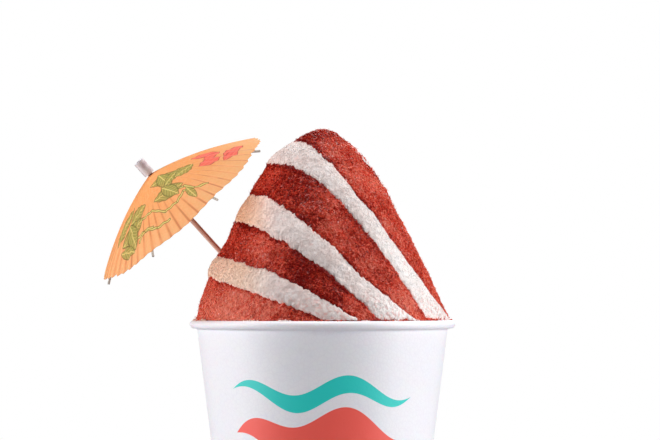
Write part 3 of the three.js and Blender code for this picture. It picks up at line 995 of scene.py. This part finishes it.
def upright(place):
    """Object coordinates as the parasol's own, in metres."""
    inputs = {"Vector": place, "Location": apex * MM, "Rotation": tilt.to_euler()}
    return place.node("ShaderNodeMapping", {"vector_type": "TEXTURE"}, inputs)


print("canopy point in mm:", [round(v, 1) for v in apex])


# %% [markdown]
# ## The pleated canopy
# The paper is folded to and fro into sharp pleats that open towards the edge, where they leave a
# zigzag. Each row of points runs out along a fold and back underneath, and the rows are joined all
# the way round. No two pleats are folded quite as deep.

# %% Canopy
CANOPY_R = 45.6
CANOPY_EYE = 1.3
CANOPY_SLOPE = 0.24
CANOPY_CURL = 0.0043
PAPER = 0.16
PLEATS = 56
RIBS = 8
RIB_PHASE = 18
PLEAT_DEPTH = 0.65
PLEAT_NOTCH = 1.3
UNEVEN = (0.55, 1.35)  # the least and the most share of that depth in a pleat
CANOPY_RINGS = 26
FACES_A_PLEAT = 4
SAG = 0.9  # the paper hangs this much lower between two ribs, at the rim


def canopy_height(r):
    return -(CANOPY_SLOPE * r + CANOPY_CURL * r * r)


fold = np.arange(PLEATS * FACES_A_PLEAT)
fold_turn = np.radians(RIB_PHASE) + 2 * np.pi * fold / len(fold)
valley = 1 - np.abs((fold / FACES_A_PLEAT * 2) % 2 - 1)
sag = np.cos(RIBS * (fold_turn - math.radians(RIB_PHASE))) * 0.5 - 0.5
out = np.linspace(0, 1, CANOPY_RINGS)[None, :]
uneven = np.random.default_rng(8).uniform(*UNEVEN, PLEATS).repeat(FACES_A_PLEAT)[:, None]
edge_r = CANOPY_R - PLEAT_NOTCH * valley[:, None] * uneven
crease_r = CANOPY_EYE + (edge_r - CANOPY_EYE) * out
paper_z = canopy_height(crease_r) - valley[:, None] * uneven * PLEAT_DEPTH * crease_r / CANOPY_R
paper_z = paper_z + sag[:, None] * SAG * (crease_r / CANOPY_R) ** 2
upper_face, lower_face = (polar(crease_r, fold_turn[:, None], z) for z in (paper_z, paper_z - PAPER))
canopy_rows = np.concatenate([upper_face, lower_face[:, ::-1]], 1)
canopy = loft("pleated_canopy", lean(canopy_rows), joined=True, smooth=False)
print("canopy in mm:", 2 * CANOPY_R, "across,", PLEATS, "pleats")

# %% [markdown]
# ## The print on the paper
# The paper has the usual spray of flowers: olive leaves with pale veins on thin stems, and red
# petals, placed in millimetres from the stick. The same spray is printed again on the other half,
# which a change of sign will give.

# %% Motifs of the print
ORANGE = screen(238, 149, 80)
ORANGE_PALE = screen(241, 173, 115)
ORANGE_SHADE = screen(225, 121, 60)
CREASE_SHADE = screen(176, 104, 60)
FIBRE = screen(255, 214, 166)
LEAF = screen(150, 142, 64)
LEAF_LINE = screen(112, 102, 40)
VEIN = screen(220, 196, 112)
PETAL = screen(240, 96, 84)
PETAL_PALE = screen(250, 140, 118)
PETAL_LINE = screen(188, 66, 58)
SPRAY_TURN = math.radians(-14)
# Middle in millimetres, direction in degrees, half length, half width.
LEAVES = [
    (-4, 13, 160, 8.5, 4), (-3, 14, 95, 7.5, 4), (-7, 15, 30, 7, 3), (-12, 15.5, 20, 5.5, 3.5),
    (-1, 23, 165, 8, 4.5), (-2, 23, 110, 6.5, 3.5), (-8.5, 33, 95, 5, 2), (15.5, 16, 170, 6, 4.5),
    (22, 20, 165, 8.5, 5), (23, 22, 75, 8.5, 4), (23, 10.5, 190, 9, 3.5), (29, 24, 120, 6, 3),
]
PETALS = [
    (-23, 17.5, 10, 5.5, 3.5), (-23, 8.5, 170, 6, 3.5), (-25, 12.5, 200, 4.5, 2.5),
    (-33.5, 13.5, 50, 8, 3), (-31.5, 18.5, 35, 5, 2.5),
]
STEM_HALF = 0.75
STEMS = [
    [(15, 22.5), (9.5, 24.5), (5, 31.5), (-1.5, 32), (-6.5, 29.5), (-10.5, 31.5), (-16, 33.5)],
    [(23, 26), (17.5, 29), (12, 35), (6, 36.5)],
    [(22, 29.5), (17, 29), (13.5, 32)],
    [(-3, 25.5), (-8, 27), (-10.5, 31.5)],
]


# %% [markdown]
# ## Leaves and stems as sums
# A leaf is an oval with pointed ends, in its own turned axes: its width falls off with the square
# of the way along. A stem is a chain of straight stretches, each known by the distance to it. Both
# give a number that a later step turns into ink.

# %% Shapes of the print
def oval(px, py, motif):
    """Above zero inside an oval with pointed ends, and its own two axes in millimetres."""
    middle_x, middle_y, turn, long_half, wide_half = motif
    cos, sin = math.cos(math.radians(turn)), math.sin(math.radians(turn))
    ahead = (px - middle_x) * cos + (py - middle_y) * sin
    aside = (py - middle_y) * cos - (px - middle_x) * sin
    shape = (1 - (ahead / long_half).math("POWER", 2)) - (aside / wide_half).math("ABSOLUTE")
    return shape, ahead, aside


def distance_to_line(px, py, start_x, start_y, run_x, run_y):
    """How far the paper's points are from a stretch of a stem."""
    dx, dy = px - start_x, py - start_y
    along = (dx * run_x + dy * run_y) / (run_x**2 + run_y**2)
    along = along.math("MAXIMUM", 0.0).math("MINIMUM", 1.0)
    off_x, off_y = dx - along * run_x, dy - along * run_y
    return (off_x * off_x + off_y * off_y).math("SQRT")


# %% [markdown]
# ## Painting the paper
# The paint is built up in the order of the real thing: dyed paper, paler towards the rim; then
# stems, leaves and petals on top, each leaf and petal with a thin darker line along its edge. Before
# the print, painted shade darkens the creases to a deeper orange, and to brown here and there.

# %% Canopy paper
INK = 0.12  # how far inside its edge a motif has its full colour, as a share of its width
LINE = 0.26  # and how far inside the darker line along its edge ends
VEIN_RATE, STREAK_RATE = 3.4, 4.2  # in radians to the millimetre


def printed(paint, shape, fill, line, strength):
    """Ink over the paint wherever the shape is above zero, outlined in a darker one."""
    return (shape.step(0.0, INK) * strength).mix(paint, shape.step(LINE, INK).mix(fill, line))


def dyed_paper(place, reach, folds):
    """Dyed paper with painted shade along its creases; reach is in millimetres from the stick."""
    wash = place.noise(90, 2) * 0.4 + reach.step(20, 46) * 0.7
    fibres = place.noise(900, 2).step(0.35, 0.7) * 0.12
    paint = fibres.mix(wash.mix(ORANGE, ORANGE_PALE), FIBRE)
    # Painted shade: a deeper orange along each crease, stronger towards the rim.
    paint = (folds * reach.step(14, 42) * 0.4).mix(paint, ORANGE_SHADE)
    # Painted shade: darker brown along the creases here and there.
    sharp = folds.step(0.75, 1.0) * reach.step(12, 40) * place.noise(70, 3).step(0.42, 0.6)
    return (sharp * 0.55).mix(paint, CREASE_SHADE)


def printed_paper(place):
    flat_x, flat_y = upright(place).apart()[:2]
    side = (flat_y * math.cos(SPRAY_TURN) - flat_x * math.sin(SPRAY_TURN)).math("SIGN")
    px, py = flat_x * side / MM, flat_y * side / MM
    folds = (flat_y.math("ARCTAN2", flat_x) * PLEATS).math("COSINE").step(0.4, 1.0)
    paint = dyed_paper(place, (px * px + py * py).math("SQRT"), folds)
    for (ax, ay), (bx, by) in [pair for stem in STEMS for pair in zip(stem, stem[1:])]:
        away = distance_to_line(px, py, ax, ay, bx - ax, by - ay)
        stroke = away.step(0.25, 0.42).mix(VEIN, LEAF_LINE)
        paint = away.step(STEM_HALF, STEM_HALF - 0.2).mix(paint, stroke)
    for motif in LEAVES:
        shape, ahead, aside = oval(px, py, motif)
        slant = (ahead - aside.math("ABSOLUTE")) * VEIN_RATE
        veins = (slant.math("SINE") - 0.7).step(0, 0.3)
        spine = aside.math("ABSOLUTE").step(0.35, 0.15)
        blade = (veins * 0.75).math("MAXIMUM", spine).mix(LEAF, VEIN)
        paint = printed(paint, shape, blade, LEAF_LINE, 0.92)
    for motif in PETALS:
        shape, ahead, aside = oval(px, py, motif)
        streak = (aside * STREAK_RATE).math("SINE").step(0.2, 0.9) * 0.35
        paint = printed(paint, shape, streak.mix(PETAL, PETAL_PALE), PETAL_LINE, 0.9)
    return paint


canopy_finish = new_material(
    "printed_paper", printed_paper, bumps=(noisy(1400, 2), 0.15, 0.0002), Roughness=0.75,
    Subsurface_Weight=0.2, Subsurface_Scale=0.001)
dress(canopy, canopy_finish, "orange_paper", "parasol_canopy")

# %% [markdown]
# ## Light through the paper
# Thin paper lets side light through, and the ice behind it glows. A paper that scatters so much is
# slow to render, so the left light simply takes no shadow from the canopy.

# %% No shadow from the paper
lets_pass = bpy.data.collections.new("lets_light_pass")
lets_pass.objects.link(canopy)
lets_pass.collection_objects[0].light_linking.link_state = "EXCLUDE"
left_light.light_linking.blocker_collection = lets_pass

# %% [markdown]
# ## Ribs and struts
# Under the paper eight wooden ribs run out from the hub, and eight struts prop them. Each is the
# same stick repeated round the axis, so one geometry tree makes both: it bends a line to the rule
# height = start + slope * r + curl * r * r, thickens it, and sets copies of it in a circle.

# %% A geometry tree for spokes
SPOKE_INPUTS = {
    "Float": ("Inner radius", "Outer radius", "Start height", "Slope", "Curl", "Half width", "Phase"),
    "Int": ("Count",),
    "Vector": ("Place",),
    "Rotation": ("Turn",),
    "Material": ("Finish",),
}
SPOKE_POINTS = 14

spokes, given = new_tree("spokes", SPOKE_INPUTS)
host = given["Geometry"]
line = host.node("GeometryNodeCurvePrimitiveLine", {"mode": "POINTS"}, {"End": (1, 0, 0)})
line = host.node("GeometryNodeResampleCurve", {"mode": "COUNT"}, {"Curve": line, "Count": SPOKE_POINTS})
share_out = host.node("GeometryNodeInputPosition").apart()[0]
radius_out = given["Inner radius"] + share_out * (given["Outer radius"] - given["Inner radius"])
rise = given["Start height"] + radius_out * given["Slope"] + radius_out * radius_out * given["Curl"]
bent = host.node("ShaderNodeCombineXYZ", None, {0: radius_out, 2: rise})
line = host.node("GeometryNodeSetPosition", None, {"Geometry": line, "Position": bent})
stick_round = host.node(
    "GeometryNodeCurvePrimitiveCircle", {"mode": "RADIUS"},
    {"Resolution": 8, "Radius": given["Half width"]})
spoke = host.node(
    "GeometryNodeCurveToMesh", None, {"Curve": line, "Profile Curve": stick_round, "Fill Caps": True})
dots = host.node("GeometryNodePoints", None, {"Count": given["Count"]})
index = host.node("GeometryNodeInputIndex")
turned = given["Phase"] + index * math.tau / given["Count"]
turn_out = host.node("ShaderNodeCombineXYZ", None, {2: turned})
ring_of_spokes = host.node(
    "GeometryNodeInstanceOnPoints", None, {"Points": dots, "Instance": spoke, "Rotation": turn_out})
placed = host.node(
    "GeometryNodeTransform", None,
    {"Geometry": ring_of_spokes, "Translation": given["Place"], "Rotation": given["Turn"]})
close_tree(spokes, placed, given["Finish"])

# %% [markdown]
# ## Wood
# The stick is turned from pale wood and the ribs are split from a greyer one. Wood shows fine lines
# along its length: noise stretched that way, by shrinking one coordinate against the others.

# %% Wood
STRETCH = 40


def wood_lines(place):
    """Fine lines along the stick."""
    x, y, height = upright(place).apart()
    stretched = place.node("ShaderNodeCombineXYZ", None, {0: x * STRETCH, 1: y * STRETCH, 2: height})
    return stretched.noise(60, 3).step(0.3, 0.7)


def wood_material(name, pale, dark):
    return new_material(
        name, lambda place: wood_lines(place).mix(pale, dark), bumps=(wood_lines, 0.3, 0.0001),
        Roughness=0.6)


rib_wood = wood_material("rib_wood", screen(206, 196, 186), screen(160, 146, 134))
stick_wood = wood_material("stick_wood", screen(250, 220, 206), screen(202, 160, 144))

# %% [markdown]
# ## Eight of each
# The ribs lie just under the paper and stick out a little past its rim. The struts start at the
# runner and meet the ribs about half way, which gives their slope.

# %% Ribs and struts
RIB_TIP_R = 47
RIB_HALF = 0.55
RIB_DROP = 1.0
HUB_R = 3
SPOKE_GAP = 0.3  # the spokes end this far outside the hub and the runner
RUNNER_MIDDLE = -21
STRUT_REACH = 22
STRUT_HALF = 0.45

strut_head = canopy_height(STRUT_REACH) - RIB_DROP - RIB_HALF - STRUT_HALF - 0.2
strut_slope = (strut_head - RUNNER_MIDDLE) / (STRUT_REACH - HUB_R)
# Name, outer radius, height at the axis, slope, curl and half width.
SPOKES = [
    ("parasol_rib", RIB_TIP_R, -RIB_DROP, -CANOPY_SLOPE, -CANOPY_CURL, RIB_HALF),
    ("parasol_strut", STRUT_REACH, RUNNER_MIDDLE - strut_slope * HUB_R, strut_slope, 0.0, STRUT_HALF),
]
seed_mesh = link("spoke_seed", bpy.data.meshes.new("spoke_seed"))
for name, outer, height, slope, curl, half in SPOKES:
    piece = grow(
        name + "s", seed_mesh, spokes, Count=RIBS, Phase=math.radians(RIB_PHASE),
        Place=tuple(apex * MM), Turn=tuple(tilt.to_euler()), Finish=rib_wood,
        Inner_radius=(HUB_R + SPOKE_GAP) * MM, Outer_radius=outer * MM, Start_height=height * MM,
        Slope=slope, Curl=curl / MM, Half_width=half * MM)
    dress(piece, None, "wood", *[f"{name}_{i + 1}" for i in range(RIBS)])
bpy.data.objects.remove(seed_mesh)

# %% [markdown]
# ## Stick
# The stick is round, with a point that goes deep into the ice. Its outline is swept round like the
# cup's, but in the parasol's own leaning frame.

# %% Stick
STICK_R = 1.1
STICK_LENGTH = 100
STICK_TOP = 6.2
STICK_POINT = 6
SMALL_SIDES = 32
stick_foot = STICK_TOP - STICK_LENGTH
stick_outline = [(0.2, stick_foot), (0.35, stick_foot + 0.2), (STICK_R, stick_foot + STICK_POINT)]
stick_outline += [(STICK_R, z) for z in np.linspace(stick_foot + STICK_POINT, STICK_TOP, 12)[1:]]
stick = loft("parasol_pick", lean(swept(stick_outline, SMALL_SIDES)))
dress(stick, stick_wood, "wood", "parasol_stick")


# %% [markdown]
# ## Rolled paper
# The cap on top and the stop below the runner are strips of paper rolled up tight, and each is a
# real spiral: rows of four corners follow the strip round and round, and wobble a little because no
# strip is rolled quite true.

# %% Rolled paper
ROLL_STEPS = 40  # to the turn
PAPER_SHARE = 0.8  # of a turn's pitch; the rest is air
WOBBLE, WOBBLE_RATE = 0.12, 0.37
CAP_R, CAP_FOOT, CAP_HEIGHT = 2.4, 0.35, 7.4
STOP_R, STOP_TOP, STOP_HEIGHT = 2.0, -23.3, 2.3


def roll(name, outer, low, high, turns, node):
    """A strip of paper rolled up round the stick."""
    angle = np.linspace(0, turns * 2 * np.pi, turns * ROLL_STEPS)
    inner = STICK_R + 0.1
    pitch = (outer - inner) / turns
    face = inner + pitch * angle / (2 * np.pi)
    back = face + pitch * PAPER_SHARE
    wobble = WOBBLE * np.sin(angle * WOBBLE_RATE)
    corners = [(face, low), (back, low), (back, high), (face, high)]
    rows = np.stack([polar(r, angle, z + wobble) for r, z in corners], 1)
    dress(loft(name, lean(rows), smooth=False), rolled_finish, "rolled_paper", node)


rolled_finish = new_material(
    "rolled_paper", two_tone(260, 2, 0.45, 0.75, screen(234, 230, 236), screen(204, 186, 194)),
    bumps=(noisy(1200, 2), 0.2, 0.0001), Roughness=0.8)
roll("rolled_cap", CAP_R - 0.1, CAP_FOOT, CAP_HEIGHT, 5, "parasol_cap")
roll("rolled_stop", STOP_R, STOP_TOP - STOP_HEIGHT, STOP_TOP - 0.1, 4, "parasol_stop")

# %% [markdown]
# ## Hub and runner
# Two rings of pressed card ride on the stick: the hub, which holds the ribs, and the runner that
# the struts push against. Each is a closed outline with rounded corners, swept round.

# %% Card rings
RING_INNER = 1.2
RING_ROUND = 0.35
RINGS = [("card_hub", -5.6, -2.2, "parasol_hub"), ("card_runner", -23, -19, "parasol_runner")]

card_finish = new_material(
    "pressed_card", two_tone(700, 3, 0.3, 0.7, screen(214, 204, 188), screen(186, 172, 152)),
    bumps=(noisy(1500, 2), 0.3, 0.0001), Roughness=0.85)
for name, foot, head, node in RINGS:
    inner, outer = RING_INNER + RING_ROUND, HUB_R - RING_ROUND
    section = [
        *arc(outer, foot + RING_ROUND, RING_ROUND, -90, 0, 4),
        *arc(outer, head - RING_ROUND, RING_ROUND, 0, 90, 4),
        *arc(inner, head - RING_ROUND, RING_ROUND, 90, 180, 4),
        *arc(inner, foot + RING_ROUND, RING_ROUND, 180, 270, 4),
    ]
    rows = lean(swept(section, SMALL_SIDES).swapaxes(0, 1))
    dress(loft(name, rows, joined=True), card_finish, "card", node)

# %% [markdown]
# ## Sizes, and the end
# The finished dessert should be as large as the imported model; both boxes are kept, and the finished
# size is printed.

# %% Sizes at the end
low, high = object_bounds()
sizes = {"cad": [list(cad_low), list(cad_high)], "visual": [list(low), list(high)]}
print("visual size in mm:", [round(s / MM, 1) for s in high - low])
